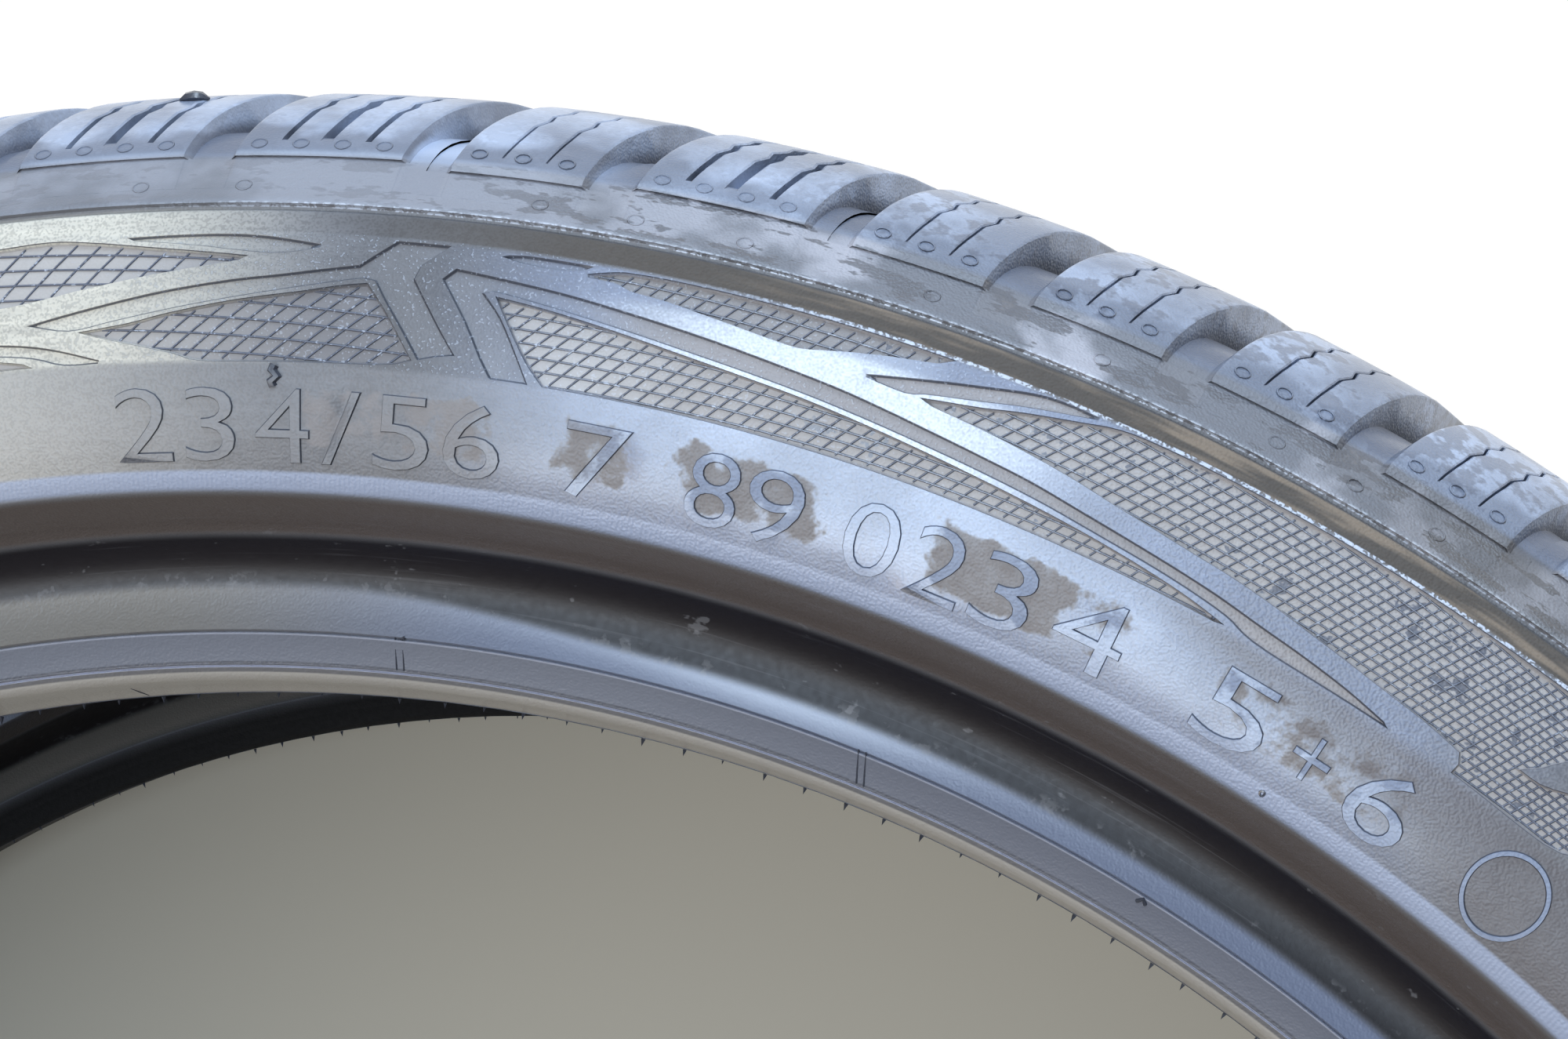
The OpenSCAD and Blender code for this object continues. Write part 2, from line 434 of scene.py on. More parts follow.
# Plain counting numerals stand where the sidewall carries its size.
numerals = {
    "low": 271.8,
    "middle": 278.7,
    "height": 10.2,
    "lift": 0.4,
    "edge": 0.17,
    "dustAndShade": -0.6,
    "ring": (39.4, 279.2, 6.2, 5.3),  # angle, radius and its outer and inner radius
    "glyphs": [
        ("2", -1.83, 8.1), ("3", 0.14, 7.3), ("4", 2.28, 7.8), ("/", 4.0, 5.6), ("5", 5.77, 8.1),
        ("6", 7.84, 8.2), ("7", 11.44, 9.4), ("8", 14.9, 7.4), ("9", 16.7, 8.2), ("0", 19.6, 7.8),
        ("2", 21.6, 7.9), ("3", 23.6, 8.2), ("4", 26.2, 10), ("5", 30.72, 10), ("+", 33.12, 5.5),
        ("6", 35.37, 9.1),
    ],
}


def glyphLoops(sign, angle, width):
    text = bpy.data.curves.new("glyph", "FONT")
    text.body = sign
    text.resolution_u = 4
    piece = bpy.data.objects.new("glyph", text)
    mesh = bpy.data.meshes.new_from_object(piece)
    uses = {}
    for face in mesh.polygons:
        for key in face.edge_keys:
            uses[key] = uses.get(key, 0) + 1
    after = {}
    for (a, b), count in uses.items():
        if count == 1:
            after.setdefault(a, []).append(b)
            after.setdefault(b, []).append(a)
    places = [v.co.copy() for v in mesh.vertices]
    lowX, highX = min(p.x for p in places), max(p.x for p in places)
    lowY, highY = min(p.y for p in places), max(p.y for p in places)
    tall = numerals["height"] * (0.62 if sign == "+" else 1)
    loops, seen = [], set()
    for start in after:
        if start in seen:
            continue
        loop, here = [], start
        while here is not None:
            seen.add(here)
            loop.append(here)
            here = next((k for k in after[here] if k not in seen), None)
        shape = []
        for k in loop:
            x = ((places[k].x - lowX) / (highX - lowX) - 0.5) * width
            y = ((places[k].y - lowY) / (highY - lowY) - 0.5) * tall
            radius = numerals["middle"] + y
            shape.append(Vector(((angle + math.degrees(x / radius)) * degree, radius)))
        loops.append([p for i, p in enumerate(shape) if (p - shape[i - 1]).length > 0.05])
    bpy.data.objects.remove(piece)
    bpy.data.curves.remove(text)
    bpy.data.meshes.remove(mesh)
    return loops


def numeralFields():
    signs = [glyphLoops(*glyph) for glyph in numerals["glyphs"]]
    angle, radius, outer, inner = numerals["ring"]
    middle = Vector((angle * degree, radius))
    around = [2 * math.pi * k / 40 for k in range(40)]
    circle = [Vector((math.cos(t), math.sin(t))) for t in around]
    signs.append([[middle + size * p for p in circle] for size in (outer, inner)])
    fields = []
    for loops in signs:
        outline = max(loops, key=lambda loop: abs(area(loop)))
        fields.append(field(loops, outline, numerals, numerals["lift"], numerals["dustAndShade"]))
    return fields


# The bead's section, as (radius, z) off the corner of seat and heel.
bead = {
    "toe": [(-0.4, -15.2), (-1.05, -14.6), (-1.3, -13.8), (0, -9.5), (0, 0)],
    "heel": [(0.4, 2.1), (2, 2.6)],
    "face": [(2.15, 2.35), (2.4, 3.25), (2.8, 3.35), (6.8, 6.55), (7.05, 6.15), (7.3, 6.9)],
    "hollow": [(17.8, 2.4), (22.3, 13.4)],
}


def beadProfile():  # (radius, z) from the toe to the number band
    steps = {name: [(casing["seatR"] + r, casing["heelZ"] + z) for r, z in run] for name, run in bead.items()}
    profile = steps["toe"] + bend(steps["toe"][-1], *steps["heel"], 4) + steps["face"]
    profile += bend(profile[-1], *steps["hollow"], 14)
    profile += [(crest[0] - 0.6, crest[1] - 1.2)]
    profile += bend(profile[-1], (crest[0] + 0.05, crest[1] - 0.1), sideAt(crest[0] + 0.5), 4)
    return profile + [sideAt(numerals["low"])]


def makeSidewall():
    lineR, lineFloor = casing["lineR"], lineZ - 0.75
    line = [sideAt(decor["high"]), sideAt(decor["high"] + 1.4), sideAt(lineFoot[0] - 0.5, 0.12)]
    line += [(lineFoot[0], lineZ + 0.1), (lineR - 0.25, lineFloor), (lineR + 0.3, lineFloor)]
    line += [(lineTop[0], lineZ - 0.05), onShoulder(lineTop[0] + 0.5, 0.12), onShoulder(lineTop[0] + 1.2, 0)]
    line += [onShoulder(shoulder["startR"], 0)]
    parts = [revolve("beadRing", beadProfile()), revolve("lineRing", line)]
    arc = (decor["start"], decor["start"] + decor["turn"])
    band = (numerals["low"], decor["low"])
    relief = reliefPatch("decor", arc, (decor["low"], decor["high"]), decorFields())
    marked = reliefPatch("marked", arc, band, numeralFields())
    plain = reliefPatch("plain", arc, band, [])
    for i in range(0, 360, decor["turn"]):
        parts.append(turned(relief, "relief", i))
        parts.append(turned(marked if i % 180 == 0 else plain, "band", i))
    for piece in (relief, marked, plain):
        bpy.data.objects.remove(piece)
    return joined("sidewall_upper", parts)


# Tread.

shoulder = {
    "startR": 312.8,     # where the lateral grooves run out on the shoulder
    "rowsR": (313.6, 314.8, 316),
    "gap": 7.6,          # width of the lateral grooves
    "gapDepth": 7.8,
    "outletDepth": 1.3,
    "wallLean": 0.9,
    "slant": 0.33,       # lean of the grooves, and the hook at their lower end
    "hook": 0.95,
    "hookLength": 6,
    "edge": 0.6,         # rounding along the edges of the blocks
    "shortDrop": 1.2,    # how far the short blocks reach lower
    "fall": 2,           # shape of the shoulder round
    "fullness": 19,
    "wideSlot": 1.8,
    "slot": 0.95,
    "sipe": 0.35,
    "slotDepth": 5,
    "zigzag": 0.4,
}
pitches = {
    "long": 5.76,
    "short": 4.8,
    "order": "LLSLSSSSLSSLSS",
    "turns": 5,
    "first": -6.33,
}
centre = {
    "inner": 20,         # places of the grooves round the tread
    "outer": 62,
    "groove": 9.5,
    "grooveDepth": 8,
    "grooveLean": 1.2,
    "edge": 0.6,
    "slot": 3.4,
    "slotDepth": 6,
    "sipe": 0.5,
    "slant": 28,
}
roundSteps = [0.0, 0.02, 0.05, 0.1, 0.13, 0.17, 0.24, 0.32, 0.4, 0.48, 0.56, 0.64, 0.73, 0.82, 0.91, 1.0]


def grooveShift(u):  # how far a groove has moved along at a distance u from the lower edge
    return shoulder["slant"] * u - shoulder["hook"] * (1 - math.exp(-u / shoulder["hookLength"]))


def shoulderRows(kind):  # (radius, z), normal, height, depth of groove and of slot, going inwards
    s = shoulder
    drop = 0.0 if kind == "long" else s["shortDrop"]
    rows = []
    foot = padEnd[0] - 0.15 - drop
    flat = Vector((-shoulderSlope, 1)).normalized()
    for r in (s["startR"], *s["rowsR"], foot - 0.7, foot):
        rows.append((onShoulder(r, 0), flat, 0, 0.5 * (r - s["startR"]) / (padEnd[0] - s["startR"]), 0))
    top = (padEnd[0] - drop, padEnd[1] + drop * 0.9)
    control = (crownEnd[0] - s["fall"], crownEnd[1] + s["fullness"])
    for i, t in enumerate(roundSteps):
        place = [(1 - t) ** 2 * top[k] + 2 * t * (1 - t) * control[k] + t * t * crownEnd[k] for k in (0, 1)]
        run = [(1 - t) * (control[k] - top[k]) + t * (crownEnd[k] - control[k]) for k in (0, 1)]
        normal = Vector((-run[1], run[0])).normalized()
        height = {0: -0.35, 1: -0.1}.get(i, 0)
        gap = s["outletDepth"] + (s["gapDepth"] - s["outletDepth"]) * easeIn(t, 0.03, 0.97)
        rows.append((place, normal, height, gap, s["slotDepth"] * easeIn(t, 0.105, 0.22)))
    edge = centre["outer"] + centre["groove"] / 2
    deep = -centre["grooveDepth"]
    flats = [(88, 0), (79, 0), (edge + s["edge"], 0), (edge, -0.3)]
    for z, height in flats + [(edge - centre["grooveLean"], deep), (centre["outer"], deep)]:
        rows.append(((treadAt(z), z), Vector((1, 0)), height, s["gapDepth"], s["slotDepth"]))
    return rows


# Columns of a tile are (place, part, share of the depth), where part is what the depth is of.
def slotColumns(place, width, edge, full=1):
    half = width / 2
    left = [(-half - edge, 0), (-half, 0.04), (-half + 0.1, full)]
    return [(place + x, "slot", share) for x, share in left + [(-x, share) for x, share in reversed(left)]]


def gapColumns(half, lean, edge):
    columns = [(0, 1), ((half - lean) / 2, 1), (half - lean, 1), (half, 0.06), (half + edge * 0.4, 0.015),
               (half + edge, 0)]
    return [(x, "gap", share) for x, share in columns]


def tileColumns(left, middle, width, widest=4.0):  # with plain columns in between, where the block is wide
    columns = left + middle + [(width - x, part, share) for x, part, share in reversed(left)]
    out = [columns[0]]
    for column in columns[1:]:
        begin = out[-1][0]
        count = int((column[0] - begin) / widest)
        out += [(begin + (column[0] - begin) * k / (count + 1), "gap", 0) for k in range(1, count + 1)]
        out.append(column)
    return out


def gridFaces(rows, columns):
    return [[i * columns + j, i * columns + j + 1, (i + 1) * columns + j + 1, (i + 1) * columns + j]
            for i in range(rows - 1) for j in range(columns - 1)]


def shoulderTile(kind):
    s = shoulder
    width = math.radians(pitches[kind]) * padEnd[0]
    left = gapColumns(s["gap"] / 2, s["wallLean"], s["edge"])
    block = width - s["gap"]
    middle = []
    if kind == "long":
        for share, slot, full in ((0.25, s["slot"], 1), (0.5, s["wideSlot"], 0.5), (0.75, s["slot"], 1)):
            middle += slotColumns(s["gap"] / 2 + block * share, slot, 0.3, full)
    else:
        for share in (1 / 3, 2 / 3):
            middle += slotColumns(s["gap"] / 2 + block * share, s["sipe"], 0.2)
    columns = tileColumns(left, middle, width)
    rows = shoulderRows(kind)
    verts, dusty = [], []
    for i, (place, normal, height, gap, slot) in enumerate(rows):
        shift = grooveShift(padEnd[1] - place[1]) if place[1] < padEnd[1] else 0
        zig = s["zigzag"] * (1 if i % 2 else -1) * easeIn(i, 13, 15)
        for x, part, share in columns:
            depth = share * (gap if part == "gap" else slot)
            low = min(height, -depth) if depth else height
            along = x + shift + (zig if part == "slot" else 0)
            r, z = place[0] + normal.x * low, place[1] + normal.y * low
            verts.append(onWheel(math.degrees(along / padEnd[0]), r, z))
            # groove floors are tagged for painted shade that deepens away from the outlet
            dusty.append(0.9 if part == "gap" and share == 1 else 0.0)
    return addPiece("tile_" + kind, verts, gridFaces(len(rows), len(columns)), dustAndShade=dusty)


def centreTile(kind):
    c = centre
    width = math.radians(pitches[kind]) * treadR
    half, foot, deep = c["groove"] / 2, c["groove"] / 2 - c["grooveLean"], -c["grooveDepth"]
    outerWall = [(c["outer"], deep), (c["outer"] - foot, deep), (c["outer"] - half, -0.3)]
    innerWall = [(half + c["edge"], 0), (half, -0.3), (foot, deep), (0, deep)]
    innerWall += [(-z, h) for z, h in reversed(innerWall[:-1])]
    heights = outerWall + [(c["outer"] - half - c["edge"], 0), (48, 0), (40, 0), (32, 0)]
    heights += [(c["inner"] + z, h) for z, h in innerWall] + [(7, 0)]
    heights += [(0, 0)] + [(-z, h) for z, h in reversed(heights)]
    columns = tileColumns(gapColumns(c["slot"] / 2, 0.3, 0.5), slotColumns(width / 2, c["sipe"], 0.2), width)
    slope = math.tan(math.radians(c["slant"]))
    verts, dusty = [], []
    for z, height in heights:
        for x, part, share in columns:
            depth = share * c["slotDepth"]
            low = min(height, -depth) if depth else height
            verts.append(onWheel(math.degrees((x - z * slope) / treadR), treadAt(z) + low, z))
            # the deep parts of the grooves are tagged for painted shade
            dusty.append(0.6 if low < -4 else 0.0)
    return addPiece("tile_centre_" + kind, verts, gridFaces(len(heights), len(columns)), dustAndShade=dusty)


# Geometry nodes. Every tree takes the rubber and ends in plain geometry that wears it.

def newTree(name, inputs):
    tree = bpy.data.node_groups.new(name, "GeometryNodeTree")
    for title, kind in (("Geometry", "Geometry"), *inputs, ("Rubber", "Material")):
        tree.interface.new_socket(title, in_out="INPUT", socket_type="NodeSocket" + kind)
    tree.interface.new_socket("Geometry", in_out="OUTPUT", socket_type="NodeSocketGeometry")
    return tree, tree.nodes.new("NodeGroupInput").outputs


def addNode(tree, kind, links, **settings):
    node = tree.nodes.new(kind)
    for key, value in settings.items():
        setattr(node, key, value)
    for title, value in links.items():
        if isinstance(value, bpy.types.NodeSocket):
            tree.links.new(value, node.inputs[title])
        else:
            node.inputs[title].default_value = value
    return node.outputs[0]


def closeTree(tree, start, shape):
    solid = addNode(tree, "GeometryNodeRealizeInstances", {"Geometry": shape})
    dressed = addNode(tree, "GeometryNodeSetMaterial", {"Geometry": solid, "Material": start["Rubber"]})
    tree.links.new(dressed, tree.nodes.new("NodeGroupOutput").inputs[0])
    return tree


def pointValue(tree, name, kind="FLOAT"):
    return addNode(tree, "GeometryNodeInputNamedAttribute", {"Name": name}, data_type=kind)


def circle(tree, sides, radius):
    return addNode(tree, "GeometryNodeCurvePrimitiveCircle", {"Resolution": sides, "Radius": radius})


def onPoints(tree, start, shape, rotation, size=None):  # a copy of the shape on each point
    copies = {"Points": start["Geometry"], "Instance": shape, "Rotation": rotation}
    if size is not None:
        copies["Scale"] = size
    return closeTree(tree, start, addNode(tree, "GeometryNodeInstanceOnPoints", copies))


def standing(tree):  # turned so that Z is the point's own direction
    out = pointValue(tree, "out", "FLOAT_VECTOR")
    return addNode(tree, "FunctionNodeAlignEulerToVector", {"Vector": out}, axis="Z")


def roundTree():  # a tile repeated round the wheel, one for each point, by the point's own turn
    tree, start = newTree("round_the_wheel", [("Tile", "Object")])
    tile = addNode(tree, "GeometryNodeObjectInfo", {"Object": start["Tile"], "As Instance": True})
    tile = tile.node.outputs["Geometry"]
    angle = addNode(tree, "ShaderNodeCombineXYZ", {"Z": pointValue(tree, "turn")})
    return onPoints(tree, start, tile, angle)


def ridgeTree():  # a ridge along each curve, as thick as the radius of its points
    tree, start = newTree("ridges", [("Half width", "Float"), ("Sides", "Int")])
    section = circle(tree, start["Sides"], start["Half width"])
    share = addNode(tree, "GeometryNodeInputRadius", {})
    swept = {"Curve": start["Geometry"], "Profile Curve": section, "Scale": share}
    return closeTree(tree, start, addNode(tree, "GeometryNodeCurveToMesh", swept))


def ventTree():  # small raised rings, each square to the surface where it stands
    tree, start = newTree("vents", [("Radius", "Float"), ("Half width", "Float")])
    ring = circle(tree, 12, start["Radius"])
    section = circle(tree, 3, start["Half width"])
    swept = addNode(tree, "GeometryNodeCurveToMesh", {"Curve": ring, "Profile Curve": section})
    return onPoints(tree, start, swept, standing(tree))


def spikeTree():  # a small cone on each point, along its own direction
    tree, start = newTree("spikes", [("Width", "Float"), ("Length", "Float")])
    cone = addNode(tree, "GeometryNodeMeshCone", {
        "Vertices": 4, "Side Segments": 1, "Radius Top": 0.0, "Radius Bottom": start["Width"],
        "Depth": start["Length"]})
    return onPoints(tree, start, cone, standing(tree), pointValue(tree, "size"))


def applied(piece, tree, values, name):  # the modifier's result as a plain mesh
    modifier = piece.modifiers.new("nodes", "NODES")
    modifier.node_group = tree
    names = {item.name: item.identifier for item in tree.interface.items_tree if item.in_out == "INPUT"}
    for title, value in {**values, "Rubber": rubber}.items():
        modifier[names[title]] = value
    bpy.context.view_layer.update()
    ready = piece.evaluated_get(bpy.context.evaluated_depsgraph_get())
    mesh = bpy.data.meshes.new_from_object(ready)
    mesh.name = name
    bpy.data.objects.remove(piece)
    return placed(name, mesh)


def pointCloud(name, places, numbers, vectors=()):  # points with named values for the trees
    mesh = bpy.data.meshes.new(name)
    mesh.from_pydata(places, [], [])
    for title, values in numbers.items():
        mesh.attributes.new(title, "FLOAT", "POINT").data.foreach_set("value", values)
    if vectors:
        flat = [c for v in vectors for c in v]
        mesh.attributes.new("out", "FLOAT_VECTOR", "POINT").data.foreach_set("vector", flat)
    return placed(name, mesh)


def polyCurve(name, runs):  # a curve of straight runs of (place, radius) points
    curve = bpy.data.curves.new(name, "CURVE")
    curve.dimensions = "3D"
    for run in runs:
        spline = curve.splines.new("POLY")
        spline.points.add(len(run) - 1)
        for point, (place, size) in zip(spline.points, run):
            point.co = (*place, 1)
            point.radius = size
    return placed(name, curve)


# Shader maths.

class Term:  # a socket that can be used in a sum
    def __init__(self, paint, socket):
        self.paint = paint
        self.socket = socket

    def maths(self, kind, *others):
        return self.paint.node("ShaderNodeMath", {"operation": kind}, self, *others)

    def __add__(self, other):
        return self.maths("ADD", other)

    def __sub__(self, other):
        return self.maths("SUBTRACT", other)

    def __rsub__(self, other):
        return self.paint.node("ShaderNodeMath", {"operation": "SUBTRACT"}, other, self)

    def __mul__(self, other):
        return self.maths("MULTIPLY", other)

    __radd__ = __add__
    __rmul__ = __mul__


class Paint:  # a material being built
    def __init__(self, name):
        self.material = bpy.data.materials.new(name)
        self.material.use_nodes = True
        self.tree = self.material.node_tree
        self.tree.nodes.clear()
        self.colour = None

    def node(self, kind, settings, *values, out=0, **named):
        made = self.tree.nodes.new(kind)
        for key, value in settings.items():
            setattr(made, key, value)
        pairs = list(zip(made.inputs, values)) + [(made.inputs[key], value) for key, value in named.items()]
        for socket, value in pairs:
            if isinstance(value, Term):
                self.tree.links.new(value.socket, socket)
            elif value is not None:
                socket.default_value = value
        return Term(self, made.outputs[out])

    def ramp(self, value, low, high):  # 0 below low to 1 above high, smoothly
        settings = {"interpolation_type": "SMOOTHSTEP", "clamp": True}
        return self.node("ShaderNodeMapRange", settings, value, low, high, 0.0, 1.0)

    def band(self, value, low, high, soft):
        return self.ramp(value, low - soft, low + soft) * (1 - self.ramp(value, high - soft, high + soft))

    def noise(self, place, scale, detail=3.0, rough=0.55):
        return self.node("ShaderNodeTexNoise", {"noise_dimensions": "3D"}, place, None, scale, detail, rough)

    def split(self, place):
        first = self.node("ShaderNodeSeparateXYZ", {}, place)
        return [Term(self, out) for out in first.socket.node.outputs]

    def mix(self, share, first, second):
        made = self.tree.nodes.new("ShaderNodeMix")
        made.data_type = "RGBA"
        for index, value in ((0, share), (6, first), (7, second)):
            if isinstance(value, Term):
                self.tree.links.new(value.socket, made.inputs[index])
            else:
                made.inputs[index].default_value = value
        return Term(self, made.outputs[2])

    def lay(self, share, colour):  # a colour over what is there
        self.colour = self.mix(share, self.colour, colour)

    def close(self, shader):
        end = self.tree.nodes.new("ShaderNodeOutputMaterial")
        self.tree.links.new(shader.socket, end.inputs[0])
        return self.material


def tone(red, green, blue):  # a colour as a screen shows it
    def linear(c):
        c = c / 255
        return c / 12.92 if c <= 0.04045 else ((c + 0.055) / 1.055) ** 2.4
    return (linear(red), linear(green), linear(blue), 1.0)


rubberLook = {
    "rubber": tone(58, 56, 58),
    "film": tone(136, 136, 140),    # pale film over the whole sidewall
    "silver": tone(240, 233, 216),  # the same where it is dry, brightened by a painted warm highlight
    "matt": tone(194, 189, 181),    # the dry film on the number band there
    "paintedSheen": tone(140, 153, 182),   # painted sheen: the same film where it shines
    # painted glint and sparkle colour
    "paintedGlint": tone(205, 213, 228),
    "dirt": tone(178, 173, 171),
    "darkDirt": tone(128, 126, 129),
    "stain": tone(144, 138, 137),   # brown film round the numerals
    "tops": tone(138, 150, 175),    # tops of the numerals
    "line": tone(58, 62, 74),       # painted shade on the walls of the relief, and the colour of the marks
    # painted shade on the hatching lines
    "hatch": tone(92, 97, 112),
    "bright": tone(216, 221, 230),  # painted highlight where the plain stripe shines most
    "tan": tone(166, 161, 162),     # the ribbons at its side
    "dusk": tone(98, 92, 94),       # number band past the numerals
    "rim": tone(166, 176, 200),     # painted highlight along the crest
    "brown": tone(84, 77, 70),      # stripe below the shoulder line
    "clay": tone(146, 131, 115),
    "grey": tone(122, 126, 138),    # bead
    "greyFar": tone(112, 116, 129),
    # painted highlight on the bead's inner slope, bluish at the right and beige at the left
    "inner": tone(118, 130, 158),
    "dry": tone(132, 128, 122),
    # painted shade in the hollow below the crest
    "navy": tone(16, 12, 20),
    "under": tone(94, 84, 79),      # underside of the crest, with a painted brown reflection of the ground
    "toe": tone(180, 174, 166),
    # painted shade below the bead's grey band, and painted highlight lines
    "lip": tone(66, 68, 78),
    "lipEdge": tone(186, 190, 206),
    "shoulder": tone(116, 117, 124),
    "pale": tone(145, 146, 155),
    "dusty": tone(184, 182, 190),
    "pad": tone(108, 113, 127),
    # dusty block tops with a painted bluish sky reflection
    "top": tone(190, 202, 226),
    "crown": tone(88, 90, 96),
    "block": tone(120, 129, 148),
    # groove floors, darkened by painted shade, and painted shade deep in them
    "floor": tone(96, 103, 120),
    "deep": tone(60, 66, 80),
    "wet": tone(82, 88, 104),
    "damp": tone(88, 88, 94),
    # painted shade inside the tyre and on the far bead
    "inside": tone(3, 3, 6),
    "roughness": 0.42,
    "coat": {"Specular IOR Level": 0.5, "Coat Roughness": 0.22, "Coat IOR": 1.65},
    "bump": 0.0003,
    # where the brown film is: from and to degrees, and how closed it is
    "filmRuns": [
        (2.8, 8.6, 0.78), (10.2, 12.6, 0.9), (13.7, 18.0, 1.0), (21.3, 25.2, 1.0), (25.2, 27.4, 0.62),
        (29.4, 36.4, 0.6),
    ],
    # Zones of the surface. A finish comes in between two limits, or lies between the first two of three
    # and the third is how soft its ends are.
    "radii": {
        "tread": (318.2, 319.4), "decor": (287.2, 309.4, 0.6), "stripe": (306.0, 309.3, 0.2),
        "numbers": (269.8, 287.2, 0.6), "speckled": (271.5, 287.0, 0.6), "stained": (275.2, 284.4, 1.7),
        "paintedSheenRadii": (269.6, 305.6, 0.4), "bright": (289.5, 301.5, 1.0), "dusk": (271.5, 287.2, 1.2),
        "rim": (269.7, 272.4, 0.3), "teeth": (269.9, 272.0, 0.3), "fan": (298.5, 301.0),
        "lineGlint": (309.9, 310.6, 0.12), "stripeGlint": (305.6, 306.1, 0.1),
        "shoulder": (310.2, 319.0, 0.4),
        "bead": (245.8, 250.8, 0.3), "beadEdge": (250.3, 250.65, 0.08), "inner": (250.4, 251.2),
        "hollowTop": (263.8, 265.4), "under": (264.8, 269.2, 0.4), "toe": (245.7, 246.3),
        "lip": (245.0, 246.5, 0.15), "lipEdge": (245.65, 246.0, 0.08), "padTop": (321.8, 324.2),
        "blocks": (317.0, 321.0), "liner": (316.0, 321.0), "grained": (268.5, 270.0),
    },
    "angles": {
        "behind": (60.0, 170.0), "notLeft": (-4.0, 4.0), "right": (12.0, 19.0), "notMatt": (-8.0, 3.0),
        "apex": (3.5, 11.0, 2.0), "shining": (5.0, 13.0), "dull": (33.5, 40.0), "far": (9.0, 14.0),
        "fading": (22.0, 30.0), "hook": (4.0, 9.0, 2.0), "bright": (12.0, 22.5, 2.5), "dusk": (31.5, 37.0),
        "tops": (8.5, 13.0), "dry": (6.0, 9.0), "fan": (10.0, 19.5, 1.0), "stripe": (1.0, 12.0),
        "paintedSparkles": (-2.0, 24.0, 5.0), "damp": (2.0, 12.0), "dusty": (6.0, 18.0), "brown": (28.0, 34.0),
        "bead": (10.0, 26.0), "edge": (2.0, 14.0), "inner": (-4.0, 12.0), "paleGap": (3.0, 9.5, 1.2),
    },
    "heights": {
        "outer": (93.0, 96.0), "toe": (92.0, 94.0), "crown": (72.0, 97.0), "gapOpen": (104.0, 120.0),
        "farSeat": (-80.0, -60.0),
    },
}


